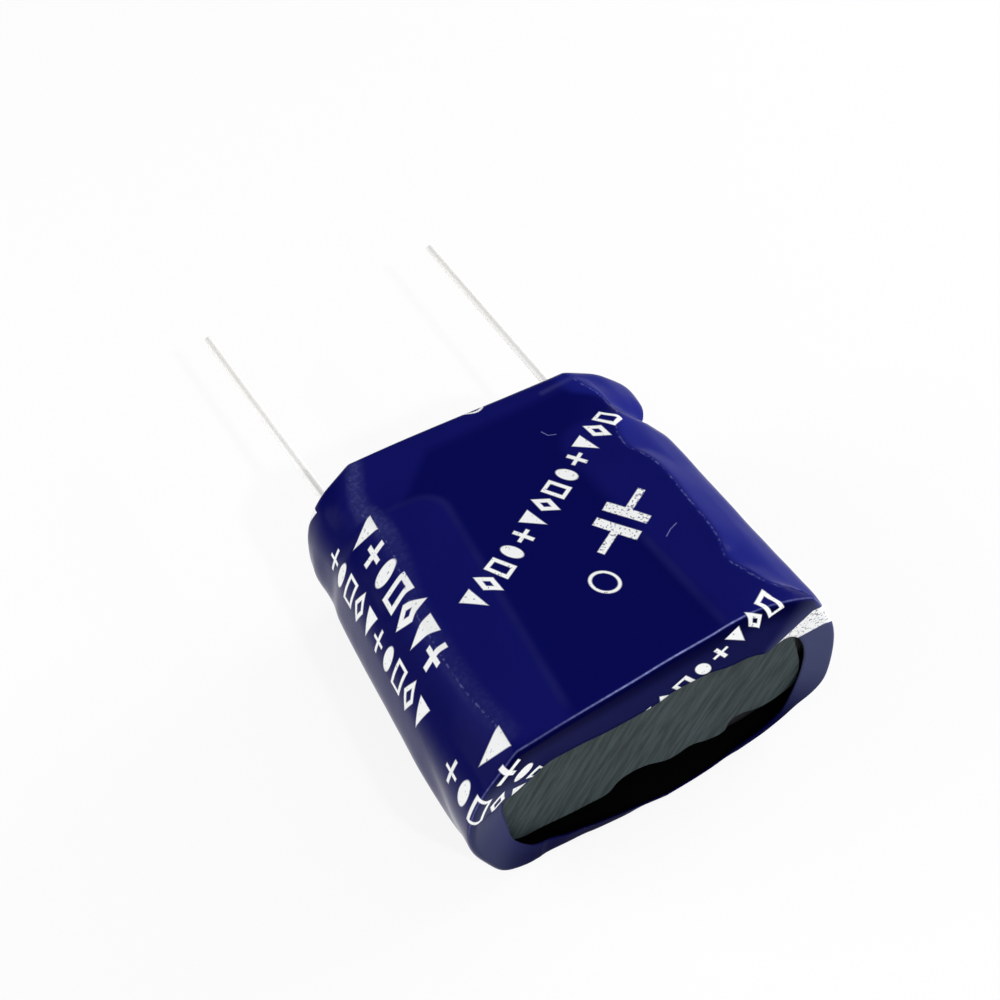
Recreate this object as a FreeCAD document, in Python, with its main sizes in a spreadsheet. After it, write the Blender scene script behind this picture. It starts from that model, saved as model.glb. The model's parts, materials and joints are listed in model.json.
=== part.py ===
import FreeCAD, Part
import os
import re
import Sketcher

# A supercapacitor of two round cells side by side, wired in series and held by one shrink sleeve.
# It lies on its broad side. X runs across the two cells, Y along them towards the leads, Z is up.
# The origin is in the middle of the flat underside, half way along the cans. Lengths are in millimetres.

SIZES = {
    # Cans: drawn cups, sealed by a rolled bead and a rim curled in over the bung
    "can_diameter": 10.0,
    "can_length": 18.0,
    "can_wall": 0.3,
    "can_edge_radius": 0.6,
    "curl_radius": 0.7,
    "curl_lip": 0.4,
    "rim_band": 1.0,
    "bead_width": 2.6,
    "bead_depth": 0.9,
    "bung_foot": 0.6,
    # Room left between pieces that fit together
    "fit_gap": 0.03,
    # Each cell's own film
    "cell_film": 0.1,
    "cell_lip": 1.1,
    "cell_dent": 0.5,
    "cell_gap": 0.2,
    # The outer sleeve
    "sleeve_film": 0.15,
    "sleeve_dent": 0.4,
    "dent_fade": 0.1,
    "rim_flare": 0.3,
    "fold_radius": 0.4,
    "shoulder_radius": 0.9,
    "top_lip": 3.3,
    "side_lip": 2.1,
    "bottom_lip": 0.35,
    "mouth_flat": 1.0,
    # Insulating boards
    "board_thickness": 0.4,
    "board_recess": 1.1,
    "board_edge_gap": 0.5,
    "board_end_cut": 1.15,
    "board_low_cut": 0.7,
    # Leads, link and solder
    "lead_pitch": 5.0,
    "lug_diameter": 1.3,
    "lug_stand": 0.2,
    "wire_diameter": 0.6,
    "lead_length": 22.5,
    "lead_splay": 1.9,
    "lead_room": 0.7,
    "hole_room": 0.7,
    "tip_bevel": 0.1,
    "link_bend": 0.6,
    "solder_diameter": 1.0,
    "solder_length": 2.2,
    "solder_taper": 0.5,
}

# Radii about a cell's axis, from the can outwards
CAN_RADIUS = "(can_diameter / 2)"
BORE_RADIUS = f"({CAN_RADIUS} - can_wall)"
RIM_RADIUS = f"({CAN_RADIUS} - curl_radius - curl_lip)"
BUNG_RADIUS = f"({BORE_RADIUS} - fit_gap)"
FILM_INSIDE = f"({CAN_RADIUS} + fit_gap)"
CELL_RADIUS = f"({FILM_INSIDE} + cell_film)"
SLEEVE_INSIDE = f"({CELL_RADIUS} + fit_gap)"
SLEEVE_RADIUS = f"({SLEEVE_INSIDE} + sleeve_film)"
CELL_OFFSET = f"({CELL_RADIUS} + cell_gap / 2)"
DENT_SHIFT = "(sleeve_dent + dent_fade)"
LUG_RADIUS = "(lug_diameter / 2)"
WIRE_RADIUS = "(wire_diameter / 2)"

# Places along the cells, from the closed ends of the cans to the tips of the leads
CAN_END = "(can_length / 2)"
BEAD_TOP = f"({CAN_END} - rim_band)"
BEAD_MID = f"({BEAD_TOP} - bead_width / 2)"
BEAD_LOW = f"({BEAD_TOP} - bead_width)"
BUNG_SEAT = f"({BEAD_LOW} - bung_foot)"
BUNG_LOW = f"({BUNG_SEAT} + fit_gap)"
BUNG_TOP = f"({CAN_END} - can_wall - fit_gap)"
BUNG_HEIGHT = f"({BUNG_TOP} - {BUNG_LOW})"
CELL_END = f"({CAN_END} + fit_gap + cell_film)"
BOARD_SEAT = f"({CELL_END} + fit_gap)"
SLEEVE_FRONT = f"({BOARD_SEAT} + board_thickness + board_recess)"
LINK_PLACE = f"({CELL_END} + fit_gap + solder_diameter / 2)"
LEAD_BOARD_OUT = f"({LINK_PLACE} + solder_diameter / 2 + fit_gap + board_thickness)"
SLEEVE_BACK = f"({LEAD_BOARD_OUT} + fit_gap + sleeve_film)"
OUTER_LEAD = f"({CELL_OFFSET} + lead_pitch / 2)"
INNER_LEAD = f"({CELL_OFFSET} - lead_pitch / 2)"

SIDES = {"left": -1, "right": 1}
SAME_PLACE = 1e-4
FULL_TURN = 360
HALF_TURN = 180

doc = FreeCAD.newDocument("supercapacitor")
sheet = doc.addObject("Spreadsheet::Sheet", "Sizes")
for row, (name, size) in enumerate(SIZES.items(), start=1):
    sheet.set(f"A{row}", name)
    sheet.set(f"B{row}", str(size))
    sheet.setAlias(f"B{row}", name)
doc.recompute()
pieces = []


def formula(text):
    """A formula in plain size names, with each name pointing at its cell of the sheet."""
    return re.sub("[a-z_]+", lambda word: f"Sizes.{word[0]}" if word[0] in SIZES else word[0], text)


def bind(thing, path, text):
    thing.setExpression(path, formula(text))


def measure(text):
    return float(sheet.evalExpression(formula(text)))


def sagitta_radius(width, depth):
    """Radius of the arc that spans this width with this depth."""
    return f"(({width} ^ 2 / 4 + {depth} ^ 2) / (2 * {depth}))"


def add_body(label):
    body = doc.addObject("PartDesign::Body", label)
    body.Label = label
    return body


def place(body, across="0", along="0"):
    """Set a body's own axis at the height of the cell axes."""
    bind(body, "Placement.Base.x", across)
    bind(body, "Placement.Base.y", along)
    bind(body, "Placement.Base.z", SLEEVE_RADIUS)


def add_piece(label, across="0", along="0"):
    body = add_body(label)
    place(body, across, along)
    pieces.append(body)
    return body


def add_sketch(body, name, role):
    sketch = body.newObject("Sketcher::SketchObject", f"{body.Name}_{name}")
    plane = next(item for item in body.Origin.OriginFeatures if item.Role == role)
    sketch.AttachmentSupport = [(plane, "")]
    sketch.MapMode = "FlatFace"
    return sketch


def pin_point(sketch, edge, end, across, along):
    """Tie one end of a sketch edge to its place, given by two formulas."""
    for kind, axis, text in (("DistanceX", -2, across), ("DistanceY", -1, along)):
        if text == "0":
            sketch.addConstraint(Sketcher.Constraint("PointOnObject", edge, end, axis))
            continue
        number = sketch.addConstraint(Sketcher.Constraint(kind, -1, 1, edge, end, measure(text)))
        bind(sketch, f"Constraints[{number}]", text)


def size_radius(sketch, edge, text):
    number = sketch.addConstraint(Sketcher.Constraint("Radius", edge, measure(text)))
    bind(sketch, f"Constraints[{number}]", text)


def arc_between(start, end, radius, turn):
    """The short arc from start to end, with its centre on the left or on the right."""
    chord = end - start
    normal = FreeCAD.Vector(-chord.y, chord.x, 0).normalize() * (1 if turn == "left" else -1)
    rise = max(radius ** 2 - (chord.Length / 2) ** 2, 0) ** 0.5
    middle = (start + end) / 2
    return Part.Arc(start, middle + normal * (rise - radius), end)


def draw_chain(sketch, corners, closed=True):
    """Lines and arcs through corners. A corner is (across, along), and (radius, turn) starts an arc there."""
    spots = [FreeCAD.Vector(measure(corner[0]), measure(corner[1]), 0) for corner in corners]
    count = len(corners) if closed else len(corners) - 1
    ends = []
    for i in range(count):
        start, end = spots[i], spots[(i + 1) % len(spots)]
        if len(corners[i]) == 2:
            edge = sketch.addGeometry(Part.LineSegment(start, end))
            ends.append((edge, 1, 2))
        else:
            radius, turn = corners[i][2:]
            edge = sketch.addGeometry(arc_between(start, end, measure(radius), turn))
            ends.append((edge, 1, 2) if turn == "left" else (edge, 2, 1))
    for i, (edge, first, last) in enumerate(ends):
        pin_point(sketch, edge, first, *corners[i][:2])
        if len(corners[i]) > 2:
            size_radius(sketch, edge, corners[i][2])
        if closed or i + 1 < count:
            after, after_first, _ = ends[(i + 1) % count]
            sketch.addConstraint(Sketcher.Constraint("Coincident", edge, last, after, after_first))
    if not closed:
        edge, _, last = ends[-1]
        pin_point(sketch, edge, last, *corners[-1][:2])


def draw_circle(sketch, across, along, radius):
    centre = FreeCAD.Vector(measure(across), measure(along), 0)
    edge = sketch.addGeometry(Part.Circle(centre, FreeCAD.Vector(0, 0, 1), measure(radius)))
    pin_point(sketch, edge, 3, across, along)
    size_radius(sketch, edge, radius)


def stadium(radius, centre=CELL_OFFSET):
    """Outline of two round ends joined by straight runs, seen along the cells."""
    far = f"({centre} + {radius})"
    return [
        (f"-{centre}", f"-{radius}"),
        (centre, f"-{radius}", radius, "left"),
        (far, "0", radius, "left"),
        (centre, radius),
        (f"-{centre}", radius, radius, "left"),
        (f"-{far}", "0", radius, "left"),
    ]


def turn_profile(body, corners, axis="V_Axis", name="section", lean=None):
    """Turn a half section about the body's own axis, or about one that leans from it by an angle."""
    sketch = add_sketch(body, name, "XY_Plane")
    if lean:
        bind(sketch, "AttachmentOffset.Rotation.Angle", lean)
    draw_chain(sketch, corners)
    turning = body.newObject("PartDesign::Revolution", f"{sketch.Name}_turning")
    turning.Profile = sketch
    turning.ReferenceAxis = (sketch, [axis])
    turning.Angle = FULL_TURN
    doc.recompute()


def pad_sketch(body, sketch, forward, backward=None, reverse=False):
    """Thicken a cross section towards the closed end, and towards the leads where that is given too."""
    pad = body.newObject("PartDesign::Pad", f"{sketch.Name}_pad")
    pad.Profile = sketch
    pad.Reversed = reverse
    bind(pad, "Length", forward)
    if backward:
        pad.SideType = "Two sides"
        bind(pad, "Length2", backward)
    doc.recompute()
    return pad


def check_cut(feature, volume_before):
    doc.recompute()
    if feature.Shape.Volume > volume_before - SAME_PLACE:
        raise RuntimeError(f"{feature.Name} cuts nothing")


def round_rim(body, feature, place_along, radius):
    """Round the edges that lie in one plane across the body."""
    level = measure(place_along)
    names = []
    for number, edge in enumerate(feature.Shape.Edges, start=1):
        box = edge.BoundBox
        if abs(box.YMin - level) < SAME_PLACE and abs(box.YMax - level) < SAME_PLACE:
            names.append(f"Edge{number}")
    rounding = body.newObject("PartDesign::Fillet", f"{body.Name}_rounding")
    rounding.Base = (feature, names)
    bind(rounding, "Radius", radius)
    doc.recompute()
    return rounding


def bead_arc(radius, depth, upwards=True):
    """The bead's hollow in a wall of this radius, as the two corners it starts and ends at."""
    bend = sagitta_radius("bead_width", depth)
    if upwards:
        return [(radius, BEAD_LOW, bend, "right"), (radius, BEAD_TOP)]
    return [(radius, BEAD_TOP, bend, "left"), (radius, BEAD_LOW)]


def make_can(side, sign):
    """A sealed can with what is wound up inside it, open only where the bung sits."""
    body = add_piece(f"can_{side}", f"{sign} * {CELL_OFFSET}")
    turn_profile(body, [
        ("0", f"-{CAN_END}"),
        (f"({CAN_RADIUS} - can_edge_radius)", f"-{CAN_END}", "can_edge_radius", "left"),
        (CAN_RADIUS, f"(can_edge_radius - {CAN_END})"),
        *bead_arc(CAN_RADIUS, "bead_depth"),
        (CAN_RADIUS, f"({CAN_END} - curl_radius)", "curl_radius", "left"),
        (f"({CAN_RADIUS} - curl_radius)", CAN_END),
        (RIM_RADIUS, CAN_END),
        (RIM_RADIUS, f"({CAN_END} - can_wall)"),
        (f"({CAN_RADIUS} - curl_radius)", f"({CAN_END} - can_wall)", "(curl_radius - can_wall)", "right"),
        (BORE_RADIUS, f"({CAN_END} - curl_radius)"),
        *bead_arc(BORE_RADIUS, "bead_depth", upwards=False),
        (BORE_RADIUS, BUNG_SEAT),
        ("0", BUNG_SEAT),
    ])


def make_bung(side, sign):
    """The rubber seal, waisted by the bead, with a hole for each lug."""
    body = add_piece(f"bung_{side}", f"{sign} * {CELL_OFFSET}")
    turn_profile(body, [
        ("0", BUNG_LOW),
        (BUNG_RADIUS, BUNG_LOW),
        *bead_arc(BUNG_RADIUS, "bead_depth"),
        (BUNG_RADIUS, f"({CAN_END} - curl_radius)", "(curl_radius - can_wall - fit_gap)", "left"),
        (f"({CAN_RADIUS} - curl_radius)", BUNG_TOP),
        ("0", BUNG_TOP),
    ])
    volume = body.Shape.Volume
    sketch = add_sketch(body, "lug_holes", "XZ_Plane")
    for hole in SIDES.values():
        draw_circle(sketch, f"({hole} * lead_pitch / 2)", "0", f"({LUG_RADIUS} + fit_gap)")
    holes = body.newObject("PartDesign::Pocket", f"{body.Name}_holes")
    holes.Profile = sketch
    holes.Type = "ThroughAll"
    check_cut(holes, volume)


def make_cell_film(side, sign):
    """The cell's own film, drawn into the bead and folded over both ends of the can."""
    body = add_piece(f"cell_film_{side}", f"{sign} * {CELL_OFFSET}")
    lip = f"({CELL_RADIUS} - cell_lip)"
    inner_end = f"({CAN_END} + fit_gap)"
    low_bend = f"({CAN_RADIUS} - can_edge_radius)"
    low_turn = f"(can_edge_radius - {CAN_END})"
    top_bend = f"({CAN_RADIUS} - curl_radius)"
    top_turn = f"({CAN_END} - curl_radius)"
    turn_profile(body, [
        (lip, f"-{CELL_END}"),
        (low_bend, f"-{CELL_END}", "(can_edge_radius + fit_gap + cell_film)", "left"),
        (CELL_RADIUS, low_turn),
        *bead_arc(CELL_RADIUS, "cell_dent"),
        (CELL_RADIUS, top_turn, "(curl_radius + fit_gap + cell_film)", "left"),
        (top_bend, CELL_END),
        (lip, CELL_END),
        (lip, inner_end),
        (top_bend, inner_end, "(curl_radius + fit_gap)", "right"),
        (FILM_INSIDE, top_turn),
        *bead_arc(FILM_INSIDE, "cell_dent", upwards=False),
        (FILM_INSIDE, low_turn, "(can_edge_radius + fit_gap)", "right"),
        (low_bend, f"-{inner_end}"),
        (lip, f"-{inner_end}"),
    ])


def make_outer_lead(label, sign, splay="0"):
    """An outer terminal: the lug in the bung, tapering to the tinned wire, whose tip may lean outwards."""
    body = add_piece(label, f"{sign} * {OUTER_LEAD}", BUNG_TOP)
    tip = f"({SLEEVE_BACK} + lead_length - {BUNG_TOP})"
    weld = f"(lug_stand + {LUG_RADIUS} - {WIRE_RADIUS})"
    turn_profile(body, [
        ("0", f"-{BUNG_HEIGHT}"),
        (LUG_RADIUS, f"-{BUNG_HEIGHT}"),
        (LUG_RADIUS, "lug_stand"),
        (WIRE_RADIUS, weld),
        ("0", weld),
    ])
    turn_profile(body, [
        ("0", "0"),
        (WIRE_RADIUS, "0"),
        (WIRE_RADIUS, f"({tip} - tip_bevel)"),
        (f"({WIRE_RADIUS} - tip_bevel)", tip),
        ("0", tip),
    ], name="wire_section", lean=f"{-sign} * asin({splay} / {tip})")


def make_link_lead(side, sign):
    """An inner terminal: its wire is cut short and bent over to meet its neighbour."""
    body = add_piece(f"link_lead_{side}", f"{sign} * {INNER_LEAD}", BUNG_TOP)
    body.Placement.Rotation = FreeCAD.Rotation(FreeCAD.Vector(0, 1, 0), HALF_TURN if sign > 0 else 0)
    turn_profile(body, [
        ("0", f"-{BUNG_HEIGHT}"),
        (LUG_RADIUS, f"-{BUNG_HEIGHT}"),
        (LUG_RADIUS, "lug_stand"),
        ("0", "lug_stand"),
    ])
    run = f"({LINK_PLACE} - {BUNG_TOP})"
    spine = add_sketch(body, "wire_route", "XY_Plane")
    draw_chain(spine, [
        ("0", "0"),
        ("0", f"({run} - link_bend)", "link_bend", "right"),
        ("link_bend", run),
        (f"({INNER_LEAD} - fit_gap)", run),
    ], closed=False)
    section = add_sketch(body, "wire_section", "XZ_Plane")
    draw_circle(section, "0", "0", WIRE_RADIUS)
    wire = body.newObject("PartDesign::AdditivePipe", f"{body.Name}_wire")
    wire.Profile = section
    wire.Spine = (spine, ["Edge1", "Edge2", "Edge3"])
    doc.recompute()


def make_link_solder():
    """The barrel of solder round the two wire ends, drawn thin where it wets the wires."""
    body = add_piece("link_solder", "0", LINK_PLACE)
    bore = f"({WIRE_RADIUS} + fit_gap)"
    shoulder = "(solder_length / 2 - solder_taper)"
    turn_profile(body, [
        ("-solder_length / 2", bore),
        ("solder_length / 2", bore),
        (shoulder, "solder_diameter / 2"),
        (f"-{shoulder}", "solder_diameter / 2"),
    ], axis="H_Axis")


def make_end_board():
    """The board in the open mouth of the sleeve: round sided, cut square at both ends and below."""
    body = add_piece("end_board", "0", f"-{BOARD_SEAT}")
    radius = f"({SLEEVE_INSIDE} - board_edge_gap)"
    reach = f"({radius} - board_end_cut)"
    end = f"({CELL_OFFSET} + {reach})"
    corner = f"sqrt({radius} ^ 2 - {reach} ^ 2)"
    low = f"(board_low_cut - {radius})"
    foot = f"({CELL_OFFSET} + sqrt({radius} ^ 2 - {low} ^ 2))"
    sketch = add_sketch(body, "outline", "XZ_Plane")
    draw_chain(sketch, [
        (f"-{foot}", low),
        (foot, low, radius, "left"),
        (end, f"-{corner}"),
        (end, corner, radius, "left"),
        (CELL_OFFSET, radius),
        (f"-{CELL_OFFSET}", radius, radius, "left"),
        (f"-{end}", corner),
        (f"-{end}", f"-{corner}", radius, "left"),
    ])
    pad_sketch(body, sketch, "board_thickness")


def make_lead_board():
    """The board over the link, inside the sleeve's shoulder, with a hole that clears each outer lug."""
    body = add_piece("lead_board", "0", LEAD_BOARD_OUT)
    sketch = add_sketch(body, "outline", "XZ_Plane")
    draw_chain(sketch, stadium(f"({SLEEVE_RADIUS} - shoulder_radius)"))
    for sign in SIDES.values():
        draw_circle(sketch, f"({sign} * {OUTER_LEAD})", "0", f"({LUG_RADIUS} + hole_room)")
    pad_sketch(body, sketch, "board_thickness")


def shape_sleeve(label, radius, film):
    """One skin of the sleeve: a long stadium, sunk at the beads, wider past them and folded at both ends."""
    body = add_body(label)
    place(body)
    front = f"({SLEEVE_FRONT} - {film})"
    back = f"({SLEEVE_BACK} - {film})"
    sketch = add_sketch(body, "outline", "XZ_Plane")
    draw_chain(sketch, stadium(radius))
    pad_sketch(body, sketch, front, BEAD_MID)
    rim = add_sketch(body, "rim_outline", "XZ_Plane")
    bind(rim, "AttachmentOffset.Base.z", f"-{BEAD_MID}")
    draw_chain(rim, stadium(radius, f"({CELL_OFFSET} + rim_flare)"))
    flared = pad_sketch(body, rim, f"({back} - {BEAD_MID})", reverse=True)
    folded = round_rim(body, flared, f"-{front}", f"(fold_radius - {film})")
    shouldered = round_rim(body, folded, back, f"(shoulder_radius - {film})")
    volume = shouldered.Shape.Volume
    for side, sign in SIDES.items():
        bend = sagitta_radius("bead_width", "sleeve_dent")
        ring = add_sketch(body, f"{side}_dent", "XY_Plane")
        bind(ring, "AttachmentOffset.Base.x", f"{sign} * ({CELL_OFFSET} - {DENT_SHIFT})")
        draw_circle(ring, f"({sign} * ({radius} + dent_fade + {bend}))", BEAD_MID, bend)
        dent = body.newObject("PartDesign::Groove", f"{label}_{side}_groove")
        dent.Profile = ring
        dent.ReferenceAxis = (ring, ["V_Axis"])
        dent.Angle = HALF_TURN
        dent.Midplane = True
        check_cut(dent, volume)
        volume = dent.Shape.Volume
    return body


def make_outer_sleeve():
    """The shrink film round both cells, with a mouth at each end inside its folded lips."""
    form = shape_sleeve("sleeve_form", SLEEVE_RADIUS, "0 * sleeve_film")
    hollow = shape_sleeve("sleeve_hollow", SLEEVE_INSIDE, "sleeve_film")
    half = f"({CELL_OFFSET} + {SLEEVE_RADIUS} - side_lip)"
    low = f"(bottom_lip - {SLEEVE_RADIUS})"
    top = f"({SLEEVE_RADIUS} - top_lip)"
    corner = f"(({top} - {low} - mouth_flat) / 2)"
    mouth = add_sketch(hollow, "board_mouth", "XZ_Plane")
    draw_chain(mouth, [
        (f"({corner} - {half})", low),
        (f"({half} - {corner})", low, corner, "left"),
        (half, f"({low} + {corner})"),
        (half, f"({top} - {corner})", corner, "left"),
        (f"({half} - {corner})", top),
        (f"({corner} - {half})", top, corner, "left"),
        (f"-{half}", f"({top} - {corner})"),
        (f"-{half}", f"({low} + {corner})", corner, "left"),
    ])
    pad_sketch(hollow, mouth, f"({SLEEVE_FRONT} + sleeve_film)")
    lead_mouth = add_sketch(hollow, "lead_mouth", "XZ_Plane")
    draw_chain(lead_mouth, stadium(f"(lead_pitch / 2 + {LUG_RADIUS} + lead_room)"))
    pad_sketch(hollow, lead_mouth, f"({SLEEVE_BACK} + sleeve_film)", reverse=True)
    sleeve = doc.addObject("Part::Cut", "outer_sleeve")
    sleeve.Label = "outer_sleeve"
    sleeve.Base = form
    sleeve.Tool = hollow
    pieces.append(sleeve)


def check_pieces():
    doc.recompute()
    for item in doc.Objects:
        if "Invalid" in item.State or "Error" in item.State:
            raise RuntimeError(f"{item.Name} did not build: {item.State}")
    for piece in pieces:
        if piece.Shape.isNull() or not piece.Shape.isValid() or len(piece.Shape.Solids) != 1:
            raise RuntimeError(f"{piece.Label} is not one sound solid")


for side, sign in SIDES.items():
    make_can(side, sign)
    make_bung(side, sign)
    make_cell_film(side, sign)
    make_link_lead(side, sign)
make_outer_lead("positive_lead", SIDES["left"], "lead_splay")
make_outer_lead("negative_lead", SIDES["right"])
make_link_solder()
make_end_board()
make_lead_board()
make_outer_sleeve()
check_pieces()

os.makedirs("parts", exist_ok=True)
for piece in pieces:
    piece.Shape.exportStep(f"parts/{piece.Label}.step")
    print(f"{piece.Label}: {piece.Shape.Volume:.2f} cubic millimetres")
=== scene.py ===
# %% [markdown]
# # A flat supercapacitor in its shrink sleeve
# Two round cells lie side by side in one tight blue sleeve. A fibre board shows in the open mouth at
# one end, and two tinned wires leave the other end. The CAD frame already holds every piece at its
# real size, so this lesson only dresses it: it replaces the plain sleeve and the plain end board with
# wrinkled ones, and gives every other piece a finish of its own.
#
# All lengths are in metres in the CAD frame. `MM` lets us write them in millimetres.

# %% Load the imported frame
import json
import math

import bpy
from mathutils import Matrix, Vector


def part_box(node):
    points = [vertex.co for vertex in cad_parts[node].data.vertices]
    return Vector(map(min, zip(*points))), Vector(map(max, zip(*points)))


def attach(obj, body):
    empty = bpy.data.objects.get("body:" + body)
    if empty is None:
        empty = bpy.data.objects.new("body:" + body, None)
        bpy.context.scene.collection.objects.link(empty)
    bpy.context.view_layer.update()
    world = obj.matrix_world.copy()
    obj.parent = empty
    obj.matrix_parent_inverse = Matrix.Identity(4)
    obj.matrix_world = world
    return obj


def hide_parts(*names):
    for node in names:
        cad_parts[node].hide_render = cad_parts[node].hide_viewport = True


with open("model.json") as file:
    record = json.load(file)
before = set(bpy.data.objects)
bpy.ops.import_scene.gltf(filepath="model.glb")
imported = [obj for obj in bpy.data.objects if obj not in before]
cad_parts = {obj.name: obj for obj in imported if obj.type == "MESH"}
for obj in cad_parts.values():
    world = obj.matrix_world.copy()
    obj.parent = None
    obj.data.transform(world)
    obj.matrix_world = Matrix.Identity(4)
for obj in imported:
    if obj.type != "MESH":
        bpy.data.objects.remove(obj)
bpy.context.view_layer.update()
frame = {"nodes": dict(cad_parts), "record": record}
nodes = frame["nodes"]
MM = 0.001
print("pieces:", ", ".join(sorted(nodes)))

# %% [markdown]
# ## Camera
# The photo looks down on the end with the board from the front left, from only 70 mm away, so near
# edges look clearly larger than far ones. The angles below were fitted to the outline, the creases and
# the leads. A camera could track an empty, but a rolled camera is plainer to place by its own three axes.

# %% Place the camera
CAMERA_AZIMUTH = math.radians(-19.0)
CAMERA_ELEVATION = math.radians(46.76)
CAMERA_ROLL = math.radians(-11.12)
CAMERA_DISTANCE = 70.1 * MM
CAMERA_TARGET = Vector((0.71, 8.28, 5.0)) * MM
SENSOR_WIDTH = 36.0
FOCAL_SHARE = 1.197


def place_camera():
    """Adds the camera that looks as the photo does, and makes it the scene's camera."""
    level = math.cos(CAMERA_ELEVATION)
    back = Vector((
        math.sin(CAMERA_AZIMUTH) * level,
        -math.cos(CAMERA_AZIMUTH) * level,
        math.sin(CAMERA_ELEVATION),
    ))
    right = Vector((math.cos(CAMERA_AZIMUTH), math.sin(CAMERA_AZIMUTH), 0.0))
    roll = Matrix.Rotation(CAMERA_ROLL, 3, back)
    right = roll @ right
    axes = Matrix((right, back.cross(right), back)).transposed()
    data = bpy.data.cameras.new("photo_camera")
    data.sensor_width = SENSOR_WIDTH
    data.lens = SENSOR_WIDTH * FOCAL_SHARE
    data.clip_start = MM
    camera = bpy.data.objects.new("photo_camera", data)
    bpy.context.scene.collection.objects.link(camera)
    camera.matrix_world = Matrix.Translation(CAMERA_TARGET + back * CAMERA_DISTANCE) @ axes.to_4x4()
    bpy.context.scene.camera = camera
    return camera


camera = place_camera()
print("camera stands at, mm:", [round(v / MM, 1) for v in camera.matrix_world.translation])

# %% [markdown]
# ## Formulas as nodes
# Geometry trees and shader trees both have a Math node, and one formula can need dozens of them.
# Wiring each by hand hides the idea, so a small class stands for "a number in a node tree": adding or
# multiplying two such terms places the Math node. The same helpers then serve both kinds of tree.


# %% Terms that write Math nodes
NODES_PER_COLUMN = 8
COLUMN_STEP = 200
ROW_STEP = 170


def add_node(tree, kind, **settings):
    """Adds a node, sets its own properties and lays it out in columns."""
    node = tree.nodes.new(kind)
    for name, value in settings.items():
        setattr(node, name, value)
    column, row = divmod(len(tree.nodes) - 1, NODES_PER_COLUMN)
    node.location = (column * COLUMN_STEP, -row * ROW_STEP)
    return node


def feed(socket, value):
    """Links a term to a socket, or sets the socket to a plain value."""
    if isinstance(value, Term):
        value.tree.links.new(value.socket, socket)
    else:
        socket.default_value = value


def figure(operation, *values):
    """Places one Math node on the tree that the terms belong to."""
    tree = next(value.tree for value in values if isinstance(value, Term))
    node = add_node(tree, "ShaderNodeMath", operation=operation)
    for socket, value in zip(node.inputs, values):
        feed(socket, value)
    return Term(node.outputs[0])


def operator(operation, swapped=False):
    """A method that places one Math node; swapped is for a term on the right of the sign."""
    if swapped:
        return lambda term, other: figure(operation, other, term)
    return lambda term, other: figure(operation, term, other)


class Term:
    """A number in a node tree. Arithmetic with it adds Math nodes."""

    def __init__(self, socket):
        self.socket = socket
        self.tree = socket.id_data

    __add__, __radd__ = operator("ADD"), operator("ADD", swapped=True)
    __sub__, __rsub__ = operator("SUBTRACT"), operator("SUBTRACT", swapped=True)
    __mul__, __rmul__ = operator("MULTIPLY"), operator("MULTIPLY", swapped=True)
    __truediv__, __rtruediv__ = operator("DIVIDE"), operator("DIVIDE", swapped=True)
    __pow__ = operator("POWER")

    def __abs__(self):
        return figure("ABSOLUTE", self)


def least(first, second):
    return figure("MINIMUM", first, second)


def most(first, second):
    return figure("MAXIMUM", first, second)


def between(value, low, high):
    return least(most(value, low), high)


print("a term can be added, subtracted, multiplied, divided and raised to a power")

# %% [markdown]
# Some steps are not arithmetic: an easing ramp, a noise, a drawn curve, a vector put together or taken
# apart. Each gets a helper that takes and gives terms, so that formulas stay readable.


# %% Ramps, noise, curves and vectors
def ease(value, low, high):
    """0 below low and 1 above high, with a soft start and end. It falls where low is the larger."""
    node = add_node(value.tree, "ShaderNodeMapRange", interpolation_type="SMOOTHSTEP")
    feed(node.inputs["Value"], value)
    feed(node.inputs["From Min"], low)
    feed(node.inputs["From Max"], high)
    return Term(node.outputs[0])


def partly(share, mask):
    """A softer mask: still 1 where the mask is 1, but 1 - share where it is 0."""
    return (1.0 - share) + share * mask


def vector(x, y, z):
    """Puts three numbers together; the result feeds a vector socket."""
    tree = next(value.tree for value in (x, y, z) if isinstance(value, Term))
    node = add_node(tree, "ShaderNodeCombineXYZ")
    for socket, value in zip(node.inputs, (x, y, z)):
        feed(socket, value)
    return Term(node.outputs[0])


def parts_of(point):
    """Takes a vector apart into its three numbers."""
    node = add_node(point.tree, "ShaderNodeSeparateXYZ")
    feed(node.inputs[0], point)
    return [Term(socket) for socket in node.outputs]


def noise(point, scale, detail=2.0, roughness=0.5):
    """Soft random values from 0 to 1, always the same for the same place."""
    node = add_node(point.tree, "ShaderNodeTexNoise")
    feed(node.inputs["Vector"], point)
    feed(node.inputs["Scale"], scale)
    feed(node.inputs["Detail"], detail)
    feed(node.inputs["Roughness"], roughness)
    return Term(node.outputs[0])


def drawn_curve(place, points):
    """A smooth curve through a few points; the first of each pair runs from 0 to 1."""
    lowest = min(size for _, size in points)
    span = max(size for _, size in points) - lowest
    node = add_node(place.tree, "ShaderNodeFloatCurve")
    curve = node.mapping.curves[0]
    for number, (at, size) in enumerate(points):
        spot = (at, (size - lowest) / span)
        if number < 2:
            curve.points[number].location = spot
        else:
            curve.points.new(*spot)
    for point in curve.points:
        point.handle_type = "AUTO_CLAMPED"
    node.mapping.update()
    feed(node.inputs["Value"], place)
    return Term(node.outputs[0]) * span + lowest


print("helpers ready: ease, partly, vector, parts_of, noise, drawn_curve")

# %% [markdown]
# ## Studio
# A glossy dark film shows what stands round it, so the surroundings matter as much as the lamps. The
# room is white, but one wide dark card hangs behind and above the part, just where the flat top and
# the left flank mirror it. That keeps them deep blue, while the edges still mirror the white floor.
# A lamp could do the whole job, but then the sides would have nothing pale to reflect.

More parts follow.
